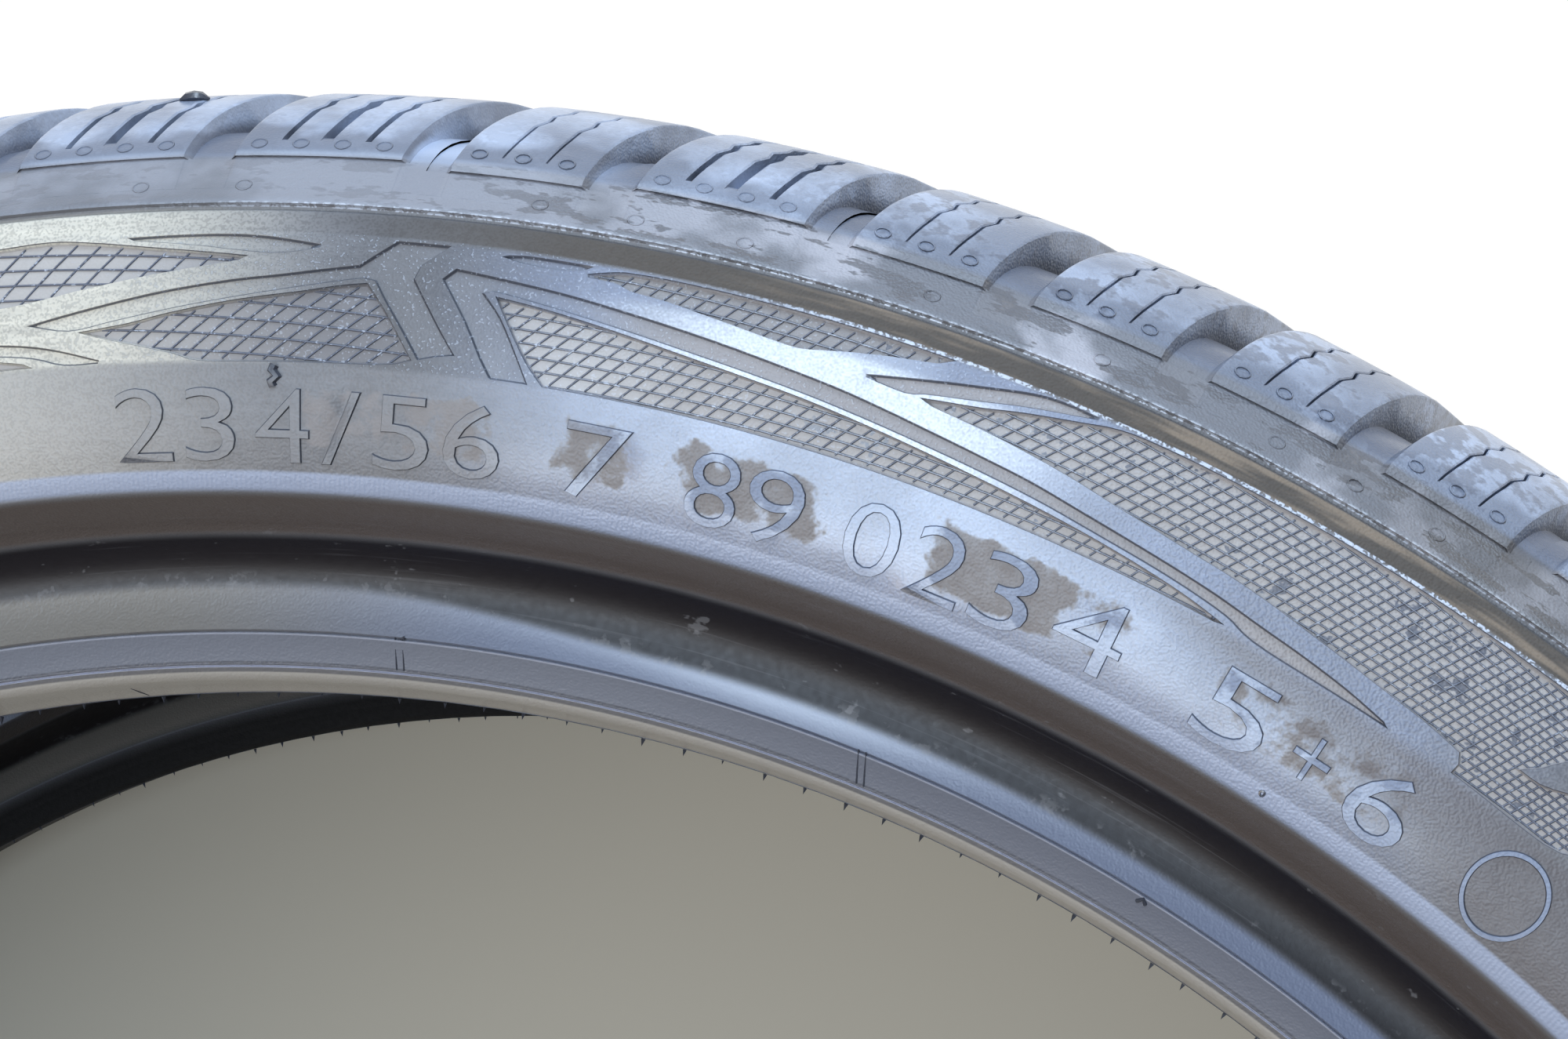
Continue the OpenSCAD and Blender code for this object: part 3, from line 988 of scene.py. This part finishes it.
def rubberMaterial():
    look = rubberLook
    p = Paint("tyre_rubber")
    place = p.node("ShaderNodeTexCoord", {}, out=3)
    x, y, z = p.split(place)
    radius = (x * x + y * y).maths("SQRT") * 1000
    level = z * 1000
    height = level.maths("ABSOLUTE")
    angle = p.node("ShaderNodeMath", {"operation": "ARCTAN2"}, x, y) * math.degrees(1)

    def zone(value, limits):
        return p.band(value, *limits) if len(limits) == 3 else p.ramp(value, *limits)

    def ring(name, value=radius):
        return zone(value, look["radii"][name])

    turn = angle * (1 - zone(angle.maths("ABSOLUTE"), look["angles"]["behind"]))  # runs back to 0 behind

    def run(name, value=turn):
        return zone(value, look["angles"][name])

    def rise(name, value=height):
        return zone(value, look["heights"][name])

    def stretched(share, scale=1.0):  # a place for streaks that run round the wheel
        return p.node("ShaderNodeCombineXYZ", {}, turn * share, radius * scale if scale != 1.0 else radius, z)

    along = stretched(0.5)
    dustAndShade = p.node("ShaderNodeAttribute", {"attribute_name": "dustAndShade"}, out=2)
    broad = p.noise(place, 14.0, 2.0)
    patchy = p.noise(place, 60.0, 3.0, 0.6)
    fleck = p.noise(place, 240.0, 3.0, 0.68)
    fine = p.noise(place, 900.0, 2.0)
    grain = p.noise(place, 2600.0, 0.0)
    streak = p.noise(along, 0.9, 3.0, 0.6)
    outer = rise("outer")
    tread = ring("tread")
    left = 1 - run("notLeft")
    right = run("right")
    decorZone = ring("decor") * outer
    sunk = p.ramp(dustAndShade, 0.45, 0.9) * (1 - tread)
    ribbon = p.ramp(dustAndShade, 0.08, 0.24) * (1 - tread)
    stripe = ring("stripe") * outer

    # film on the sidewall, with painted sheen and highlights where it shines
    p.colour = p.mix(0.72 + (broad - 0.5) * 0.4 + (streak - 0.5) * 0.4, look["rubber"], look["film"])
    # dry film at the left, with a painted warm highlight in it
    p.lay(left * decorZone * (0.4 + streak * 0.6), look["silver"])
    p.lay((1 - run("notMatt")) * (ring("numbers") * outer) * 0.8, look["matt"])
    speck = p.ramp(grain + fine * 0.5, 0.7, 0.9) * outer
    p.lay(speck * (ring("speckled") * 0.12 + decorZone * 0.26), look["rubber"])
    apex = run("apex") * decorZone * (0.5 + fleck * 0.5)
    p.lay(apex * 0.62, look["rubber"])
    stain = sum((p.band(turn, first, last, 0.7) * share for first, last, share in look["filmRuns"]), 0.0)
    stain = stain * ring("stained")
    stain = p.ramp(stain + (fleck - 0.5) * 1.7 + (patchy - 0.5) * 0.9, 0.5, 0.84) * (0.5 + fleck)
    shining = run("shining") * (1 - run("dull")) * outer
    far = run("far")
    # painted sheen, bluish and grainy, over the film where it shines
    paintedSheen = shining * ring("paintedSheenRadii") * (1 - stain) * (1 - ribbon * far)
    paintedSheen = paintedSheen * (0.7 + 0.3 * p.ramp(patchy + broad, 0.8, 1.2)) * (1 - run("fading") * 0.2)
    p.lay(paintedSheen * (0.5 + grain * 0.55), look["paintedSheen"])
    p.lay(ribbon * far * (0.45 + streak * 0.6), look["tan"])
    p.lay(ribbon * run("hook") * (1 - sunk) * 0.35, look["film"])
    # painted highlight on the plain stripe
    bright = run("bright") * ring("bright") * (1 - ribbon)
    p.lay(bright * (0.3 + grain * 0.9), look["bright"])
    p.lay(stain * 0.66, look["stain"])
    dusk = run("dusk", turn + (radius - 279) * 0.9) * ring("dusk") * outer
    p.lay(dusk * (0.4 + streak * 0.6), look["dusk"])
    raised = 1 - p.ramp(dustAndShade, -0.5, -0.1)
    tops = run("tops")
    p.lay(raised * tops * 0.85, look["tops"])
    p.lay(raised * (1 - tops) * 0.45, look["film"])
    # painted highlight along the crest
    p.lay(ring("rim") * outer * 0.85, look["rim"])

    # dirt in the sunk fields, and painted shade along the walls of the relief
    dry = (left + run("dry")).maths("MINIMUM", 1.0)
    p.lay(sunk * 0.9, p.mix(dry, look["darkDirt"], look["dirt"]))
    p.lay(sunk * run("fan") * ring("fan") * 0.6, look["darkDirt"])
    cells = sunk * right * p.ramp(fleck, 0.61, 0.65)
    p.lay(cells * 0.8, look["wet"])
    # painted shade on the sloped walls round the ribbons, panels and numerals
    edge = p.band(dustAndShade, 0.04, 0.25, 0.03) + p.band(dustAndShade, -0.5, -0.08, 0.04)
    p.lay(edge * (1 - tread) * 0.85, look["line"])
    p.lay(stripe * run("stripe") * 0.9, look["brown"])
    p.lay(stripe * right * p.ramp(p.noise(along, 0.5, 3.0), 0.42, 0.66) * 0.8, look["clay"])
    # painted glints along the shoulder line and the stripe's edge, and painted sparkle in the decoration
    glints = (ring("lineGlint") + ring("stripeGlint") * right) * outer * (1 - left)
    glints = glints * p.ramp(fine + grain * 0.5, 0.68, 0.82)
    paintedSparkles = decorZone * run("paintedSparkles") * p.ramp(grain + fine * 0.3, 0.83, 0.9) * (1 - stripe)
    p.lay((glints + paintedSparkles * 0.3).maths("MINIMUM", 1.0), look["paintedGlint"])

    # shoulder below the blocks
    below = ring("shoulder") * outer
    puddles = p.noise(stretched(1.4), 0.3, 4.0, 0.65)
    dabs = p.ramp(puddles + (fleck - 0.5) * 0.2, 0.53, 0.57) * below * (0.35 + 0.65 * run("damp"))
    dusty = p.ramp(patchy + broad, 0.9, 1.1) * run("dusty")
    ground = p.mix(p.ramp(patchy + broad, 0.9, 1.15), look["shoulder"], look["pale"])
    p.lay(below * 0.85, p.mix(dusty, ground, look["dusty"]))
    p.lay(dabs * 0.85, look["damp"])
    p.lay(below * run("brown", turn + (patchy - 0.5) * 8) * 0.5, look["brown"])

    # bead, from its toe to the crest
    p.lay(ring("bead") * outer * 0.9, p.mix(run("bead"), look["grey"], look["greyFar"]))
    # painted highlight line on the bead's upper edge
    p.lay(ring("beadEdge") * outer * 0.6, look["lipEdge"])
    # painted highlight on the bead's inner slope: bluish at the right, beige at the left
    fromEdge = radius + run("edge") * 3.2 - 257.8
    inner = ring("inner") * (1 - p.ramp(fromEdge, -1.0, 0.8)) * outer
    p.lay(inner * 0.9, p.mix(1 - run("inner"), look["inner"], look["dry"]))
    # painted shade in the hollow, which also gets no coat
    hollow = p.ramp(fromEdge, -1.2, 0.8) * (1 - ring("hollowTop")) * outer
    p.lay(hollow, look["navy"])
    # painted reflection of the ground on the underside of the crest
    under = ring("under") * outer
    p.lay(under * 0.95, look["under"])
    scuff = (hollow + under) * p.ramp(fleck + streak * 0.5, 0.92, 1.0)
    rings = p.noise(stretched(0.12, 1.6), 1.0, 2.0)
    scuff = scuff + (hollow + under) * p.ramp(rings + (patchy - 0.5) * 0.3, 0.6, 0.74) * 0.35
    scuff = scuff + p.band(fromEdge, -0.8, 1.4, 0.7) * outer * p.ramp(fleck + fine * 0.4, 0.74, 0.84) * 0.8
    p.lay(scuff * 0.36, look["film"])
    p.lay((1 - ring("toe")) * rise("toe") * (0.75 + patchy * 0.3), look["toe"])
    # painted shade along the lip, with a painted highlight line in it
    p.lay(ring("lip") * outer * 0.75, look["lip"])
    p.lay(ring("lipEdge") * outer, look["lipEdge"])

    # tread: dusty and wet blocks whose pale tops carry a painted sky reflection; pale grooves, and dark ones
    # from painted shade
    p.lay(tread, p.mix(p.ramp(patchy + broad * 0.5, 0.6, 0.95), look["block"], look["top"]))
    lower = 1 - ring("padTop", radius + (patchy - 0.5) * 10)
    p.lay(tread * lower * (0.85 - far * 0.35), look["pad"])
    wet = p.ramp(fleck + patchy - right * 0.05, 0.95, 1.12) * (right * 0.6 + 0.4)
    p.lay(tread * wet * 0.7, look["wet"])
    p.lay(tread * (1 - rise("crown")) * 0.8, look["crown"])
    # groove floors with painted shade, darkest deep in
    groove = p.ramp(dustAndShade, 0.3, 0.8) * ring("blocks")
    floor = p.mix(run("paleGap") * 0.8, look["floor"], look["top"])
    p.lay(groove, p.mix(rise("gapOpen"), look["deep"], floor))
    # painted shade on the liner, the hidden side of the beads and the far bead's seat
    farSeat = (1 - rise("farSeat", level)) * (1 - ring("toe")) * 0.9
    hidden = ((1 - outer) * (1 - ring("liner")) + farSeat).maths("MINIMUM", 1.0)
    p.lay(hidden, look["inside"])

    # hatching lines, with painted shade and some painted glints, and the dark marks, told by their
    # dust-and-shade value
    lines = 1 - p.ramp(dustAndShade, -1.6, -1.2)
    marked = 1 - p.ramp(dustAndShade, -2.7, -2.3)
    lit = p.ramp(fine + grain * 0.5, 0.84, 1.0) * (0.7 - right * 0.3)
    p.lay(lines, p.mix(marked, p.mix(lit, look["hatch"], look["paintedGlint"]), look["line"]))

    shine = dabs * 0.8 + cells + paintedSheen * 0.5
    matt = sunk * 0.2 + stain * 0.12 + hidden * 0.4 + stripe * 0.4
    rough = look["roughness"] + matt - shine * 0.16 + (fine - 0.5) * 0.2
    gloss = paintedSheen * 0.75 + shine * 0.4 + tread * (0.5 - lower * 0.4)
    gloss = gloss + inner * run("damp") * 0.9 + lines * 0.3
    coat = 0.08 + gloss + glints + (patchy - 0.5) * 0.15
    coat = coat * (1 - hidden) * (1 - stripe * 0.9) * (1 - hollow)
    teeth = (angle * 42).maths("SINE") * ring("teeth") * outer
    bumps = fine * 0.35 + grain * (0.3 + shining * ring("grained") * 0.45) + fleck * 0.35 + teeth * 0.07
    shape = p.node("ShaderNodeBump", {}, 0.6, look["bump"], Height=bumps * (1 - hollow * 0.85))
    shader = p.node("ShaderNodeBsdfPrincipled", {}, **{
        "Base Color": p.colour, "Roughness": rough, "Coat Weight": coat, "Normal": shape, **look["coat"]})
    return p.close(shader)


rubber = rubberMaterial()
print("rubber material made")

# The pieces.

upper = makeSidewall()
lower = turnedOver(upper, "sidewall_lower")
print("sidewalls:", len(upper.data.polygons), "faces each")


def makeLiner():
    c = casing
    toeZ = c["heelZ"] - c["toeL"]
    beadIn = (c["seatR"] + c["toeWall"], toeZ - c["toeIn"])
    apex = (crest[0], crest[1] - c["filler"])
    belly = (bulge[0], bulge[1] - 2 * c["wall"])
    shoulderIn = (c["lineR"], lineZ - c["wall"] - c["lineIn"])
    crownIn = (treadAt(c["crownZ"] / 2) - c["crownT"], c["crownZ"] / 2)
    half = [(c["seatR"] - 0.4, c["heelZ"] - 15.2), beadIn]
    half += bend(beadIn, (c["seatR"] + 13, toeZ + 2), apex, 10)
    half += bend(apex, belly, shoulderIn, 10)
    half += bend(shoulderIn, (crownEnd[0] - c["crownT"], c["crownZ"] + 12), crownIn, 12)
    half += [(treadR - c["crownT"], 0)]
    return revolve("liner", half + [(r, -z) for r, z in reversed(half[:-1])], outwards=False)


liner = makeLiner()


def spread(tile, turns, name):  # the tile once for each turn, in degrees
    tree = bpy.data.node_groups.get("round_the_wheel") or roundTree()
    values = {"turn": [-math.radians(a) for a in turns]}
    made = applied(pointCloud("turns", [(0, 0, 0)] * len(turns), values), tree, {"Tile": tile}, name)
    bpy.data.objects.remove(tile)
    return made


def pitchStarts():  # the length and the first angle of each pitch
    angle = pitches["first"]
    for letter in pitches["order"] * pitches["turns"]:
        kind = "long" if letter == "L" else "short"
        yield kind, angle
        angle += pitches[kind]


def spreadTiles(makeTile, name):
    parts = []
    for kind in ("long", "short"):
        turns = [angle for k, angle in pitchStarts() if k == kind]
        parts.append(spread(makeTile(kind), turns, name + "_" + kind))
    return joined(name, parts)


blocksUpper = spreadTiles(shoulderTile, "shoulder_blocks_upper")
blocksLower = turnedOver(blocksUpper, "shoulder_blocks_lower")
ribs = spreadTiles(centreTile, "centre_ribs")
print("tread:", len(blocksUpper.data.polygons), "and", len(ribs.data.polygons), "faces")

hatching = {
    "halfWidth": 0.15,
    "sides": 4,
    "sink": 0.08,        # how far the lines lie off the floor of the panel
    "reach": 14,         # how far off the panel the slanted lines start
    "fill": 24,          # height that the long lines have to fill
    "thin": 7,           # one point of this many is kept
}


def stepsOf(low, high, step):
    count = max(1, round((high - low) / step))
    return [low + (high - low) * i / count for i in range(count + 1)]


def hatchLines(panel):  # runs of the hatching lines inside the panel, as (x, radius) points
    loop = inset(flow(panel["outline"]), 0.1)
    islands = [flow(island) for island in panel.get("islands", [])]
    left, right = min(p.x for p in loop), max(p.x for p in loop)
    low, high = min(p.y for p in loop), max(p.y for p in loop)
    middle = (low + high) / 2

    def at(name, x):  # a value between the panel's left and right ends
        share = min(max((x - left) / (right - left), 0), 1)
        return panel[name][0] + (panel[name][1] - panel[name][0]) * share

    lines = []
    x = left - hatching["reach"]
    while x < right + hatching["reach"]:  # the slanted lines
        slope = 1 / math.tan(math.radians(at("slant", x)))
        lines.append([Vector((x + (r - middle) * slope, r)) for r in stepsOf(low, high, 0.4)])
        x += at("along", x)
    fall = math.tan(math.radians(panel["fall"]))
    count = int(hatching["fill"] / panel["across"][1]) + 2
    for k in range(-2, count):  # the long lines, closer together to the right
        lines.append([Vector((x, low + k * at("across", x) + (x - left) * fall * 0.6))
                      for x in stepsOf(left, right, 0.5)])
    runs = []
    for line in lines:
        run = []
        for p in line + [None]:
            if p is not None and inside(p, loop) and not any(inside(p, island) for island in islands):
                run.append(p)
            elif run:
                if len(run) > 2:
                    runs.append(run)
                run = []
    return runs


def darken(piece, amount):  # the hatching lines and the marks are told apart by this value: the lines get painted shade and glints, the marks a dark colour
    mesh = piece.data
    values = mesh.attributes.get("dustAndShade") or mesh.attributes.new("dustAndShade", "FLOAT", "POINT")
    values.data.foreach_set("value", [-amount] * len(mesh.vertices))


def makeHatching():
    runs = []
    for panel in decor["panels"].values():
        for line in hatchLines(panel):
            keep = line[:-1][::hatching["thin"]] + [line[-1]]
            lift = hatching["sink"] - decor["panelDepth"]
            runs.append([(onWheel(p.x / degree, *sideAt(p.y, lift)), 1) for p in keep])
    values = {"Half width": hatching["halfWidth"] * mm, "Sides": hatching["sides"]}
    tile = applied(polyCurve("hatching", runs), ridgeTree(), values, "hatching_tile")
    return spread(tile, range(0, 360, decor["turn"]), "hatching_upper")


hatchUpper = makeHatching()
darken(hatchUpper, 2.0)
hatchLower = turnedOver(hatchUpper, "hatching_lower")
print("hatching:", len(hatchUpper.data.polygons), "faces")

vents = {
    "radius": 1.12,
    "halfWidth": 0.14,
    "count": {"long": 4, "short": 3},
    "padPlace": (320.4, 125.2),
    "padOut": (0.72, 0.69),
    "shoulderR": 313.3,
    "shoulderOut": (0.665, 0.747),
    "shoulderAngles": [
        -2.17, 0.59, 8.44, 10.96, 13.85, 18.82, 23.39, 28.18, 30.36, 32.68, 37.9, 43, 48.1, 52.9, 57.8, 61.5,
    ],
}


def makeVents():
    places, outs = [], []

    def addVent(a, r, z, out):
        places.append(onWheel(a, r, z))
        outs.append((out[0] * math.sin(math.radians(a)), out[0] * math.cos(math.radians(a)), out[1]))

    half = math.degrees(shoulder["gap"] / 2 / padEnd[0])
    for kind, angle in pitchStarts():
        count = vents["count"][kind]
        first, last = angle + half, angle + pitches[kind] - half
        for k in range(count):
            addVent(first + (last - first) * (k + 0.5) / count, *vents["padPlace"], vents["padOut"])
    for turn in range(pitches["turns"]):
        for a in vents["shoulderAngles"]:
            place = onShoulder(vents["shoulderR"], 0)
            addVent(a + turn * 360 / pitches["turns"], *place, vents["shoulderOut"])
    values = {"Radius": vents["radius"] * mm, "Half width": vents["halfWidth"] * mm}
    return applied(pointCloud("vents", places, {}, outs), ventTree(), values, "vents_upper")


ventsUpper = makeVents()
ventsLower = turnedOver(ventsUpper, "vents_lower")

marks = {
    "hairPitch": 1.48,     # degrees between the rubber hairs of the toe
    "hairR": 242.5,
    "hairZ": 94.6,
    "hairLength": 1.05,
    "hairWidth": 0.34,
    "toeLine": 0.12,       # half a width of the line that the hairs stand on
    "seed": 7,
    # Small ridges as (angle, radius, lift) points with half a width: joint lines, a scratch and a fibre.
    "ridges": [
        (0.11, [(5.13, 246.3, 0.02), (5.15, 250.9, 0.02)]),
        (0.11, [(5.38, 246.3, 0.02), (5.4, 250.9, 0.02)]),
        (0.25, [(5.25, 250.8, 0.05), (5.5, 251, 0)]),
        (0.12, [(21.23, 246.3, 0.02), (20.97, 251.1, 0.02)]),
        (0.12, [(21.49, 246.3, 0.02), (21.23, 251.1, 0.02)]),
        (0.7, [(2.03, 286.9, 0.1), (1.97, 286.2, 0.2), (2.12, 285.4, 0.15), (1.95, 284.7, 0.1),
               (2, 284, -0.1)]),
        (0.3, [(31.1, 249.5, 0.1), (31.25, 250.2, 0.3), (31.4, 249.7, 0.1)]),
    ],
    "dots": [(32.5, 271.33, 0.36)],     # small raised rings
    # Lumps as (angle, radius, z, half a width) points: a worn vent pip, crumbs and a torn flash.
    "lumps": [
        [(-2.3, 330.4, 109.6, 0.2), (-2.1, 330.8, 109.8, 0.7), (-1.9, 330.9, 109.9, 0.8),
         (-1.7, 330.8, 109.8, 0.7), (-1.5, 330.4, 109.6, 0.2)],
        [(12.9, 327.5, 109.5, 0.1), (13.1, 327.8, 109.8, 0.5), (13.3, 327, 109.4, 0.1)],
        [(13.4, 326.2, 111.6, 0.1), (13.55, 326.4, 112, 0.4), (13.7, 326, 112.4, 0.1)],
        [(-5.2, 243.7, 99, 0.05), (-5, 243.2, 97.2, 0.16), (-4.8, 242.6, 95.5, 0.05)],
    ],
}


def makeHairs():
    chance = random.Random(marks["seed"])
    places, outs, sizes = [], [], []
    count = round(360 / marks["hairPitch"])
    for i in range(count):
        size = chance.uniform(0.55, 1.25)
        angle = 360 * i / count + chance.uniform(-0.12, 0.12)
        out = Vector(onWheel(angle, -1, chance.uniform(-0.3, 0.4))).normalized()
        places.append(onWheel(angle, marks["hairR"] - 0.2, marks["hairZ"]))
        outs.append(tuple(out))
        sizes.append(size)
    values = {"Width": marks["hairWidth"] * mm, "Length": marks["hairLength"] * mm}
    return applied(pointCloud("hairs", places, {"size": sizes}, outs), spikeTree(), values, "hairs")


beadFace = [p for p in beadProfile() if p[0] > casing["seatR"] + 1]


def anySide(r, lift):  # the bead or the sidewall at radius r
    if r > numerals["low"]:
        return sideAt(r, lift)
    return (r, between(r, [p[0] for p in beadFace], [p[1] for p in beadFace]) + lift)


def makeMarks():
    runs = []
    for width, line in marks["ridges"]:
        runs.append([(onWheel(a, *anySide(r, lift)), width) for a, r, lift in line])
    runs += [[(onWheel(a, r, z), width) for a, r, z, width in lump] for lump in marks["lumps"]]
    toeLine = [onWheel(a, marks["hairR"], marks["hairZ"] + 0.3) for a in range(0, 361, 2)]
    runs.append([(place, marks["toeLine"]) for place in toeLine])
    for a, r, size in marks["dots"]:
        ring = []
        for k in range(9):
            along, across = size * math.cos(math.pi * k / 4), size * math.sin(math.pi * k / 4)
            ring.append((onWheel(a + math.degrees(along / r), *anySide(r + across, 0)), size / 2))
        runs.append(ring)
    tree = bpy.data.node_groups["ridges"]
    made = applied(polyCurve("marks", runs), tree, {"Half width": mm, "Sides": 6}, "marks")
    return joined("mould_marks_upper", [made, makeHairs()])


marksUpper = makeMarks()
darken(marksUpper, 3.0)
marksLower = turnedOver(marksUpper, "mould_marks_lower")
print("marks:", len(marksUpper.data.polygons), "faces")

pieces = [upper, lower, liner, blocksUpper, blocksLower, ribs, hatchUpper, hatchLower]
pieces += [ventsUpper, ventsLower, marksUpper, marksLower]
for piece in pieces:
    piece.data.materials.clear()
    piece.data.materials.append(rubber)
    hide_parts("tyre")
    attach(piece, "root")
print("pieces placed")

# Floor, camera and light.

stage = {
    "reach": 6.0,
    "gap": 0.0005,               # between the tyre and the floor
    "ground": tone(206, 199, 184),
    "white": (0.26, 0.32),       # the floor turns white to the eye between these distances from the axis
    "whiteStrength": 1.04,
    "whiteShare": 0.95,
    "lens": 74.24,
    "eye": (135.28, 230.88, 571.06),
    "ahead": (-0.1224, 0.0783, -0.9894),
    "right": (0.9925, 0.00966, -0.1220),
    "air": (1.0, 0.96, 0.91, 1),
    "airStrength": 0.22,
}
lamps = {
    "key": {
        "place": (-0.12, 0.42, 1.95), "target": (-0.12, 0.42, 0), "size": (0.35, 2.7), "power": 30,
        "colour": (0.68, 0.83, 1.0), "turn": -17,
    },
    "sky": {
        "place": (0.3, 1.9, 0.75), "target": (0.1, 0.3, 0.1), "size": (2.6, 1.0), "power": 34,
        "colour": (0.64, 0.8, 1.0), "turn": 0,
    },
    "fill": {
        "place": (-1.1, -0.5, 1.6), "target": (0, 0.2, 0), "size": (1.2, 1.2), "power": 12,
        "colour": (1.0, 0.88, 0.74), "turn": 0,
    },
}


def makeFloor():
    reach = stage["reach"]
    z = tyreLow[2] - stage["gap"]
    mesh = bpy.data.meshes.new("floor")
    corners = [(-reach, -reach, z), (reach, -reach, z), (reach, reach, z), (-reach, reach, z)]
    mesh.from_pydata(corners, [], [(0, 1, 2, 3)])
    floor = placed("floor", mesh)
    p = Paint("floor")
    x, y, z = p.split(p.node("ShaderNodeTexCoord", {}, out=3))
    away = p.ramp((x * x + y * y).maths("SQRT"), *stage["white"])
    rays = p.tree.nodes.new("ShaderNodeLightPath")
    kinds = ("Is Camera Ray", "Is Glossy Ray", "Is Transmission Ray")
    seen = sum((Term(p, rays.outputs[kind]) for kind in kinds), 0.0).maths("MINIMUM", 1.0)
    ground = p.node("ShaderNodeBsdfDiffuse", {}, stage["ground"])
    white = p.node("ShaderNodeEmission", {}, (1, 1, 1, 1), stage["whiteStrength"])
    mixed = p.node("ShaderNodeMixShader", {}, away * seen * stage["whiteShare"], ground, white)
    floor.data.materials.append(p.close(mixed))


def addCamera():
    camera = placed("camera", bpy.data.cameras.new("camera"))
    camera.data.lens = stage["lens"]
    camera.data.sensor_width = 36
    camera.data.sensor_fit = "HORIZONTAL"
    camera.data.clip_start = 0.01
    ahead = Vector(stage["ahead"]).normalized()
    right = Vector(stage["right"]).normalized()
    axes = (right, right.cross(ahead), -ahead, [c * mm for c in stage["eye"]])
    camera.matrix_world = Matrix([[axis[i] for axis in axes] for i in range(3)] + [[0, 0, 0, 1]])
    bpy.context.scene.camera = camera


def addLamp(name, place, target, size, power, colour, turn):
    data = bpy.data.lights.new(name, "AREA")
    data.shape = "RECTANGLE"
    data.size, data.size_y = size
    data.energy = power
    data.color = colour
    lamp = placed(name, data)
    lamp.location = place
    aim = (Vector(target) - Vector(place)).to_track_quat("-Z", "Y").to_matrix()
    lamp.rotation_euler = (Matrix.Rotation(math.radians(turn), 3, "Z") @ aim).to_euler()


makeFloor()
addCamera()
for name, lamp in lamps.items():
    addLamp(name, **lamp)

world = bpy.data.worlds.new("world")
bpy.context.scene.world = world
world.use_nodes = True
world.node_tree.nodes["Background"].inputs[0].default_value = stage["air"]
world.node_tree.nodes["Background"].inputs[1].default_value = stage["airStrength"]
bpy.context.scene.view_settings.view_transform = "Standard"
print("stage set")
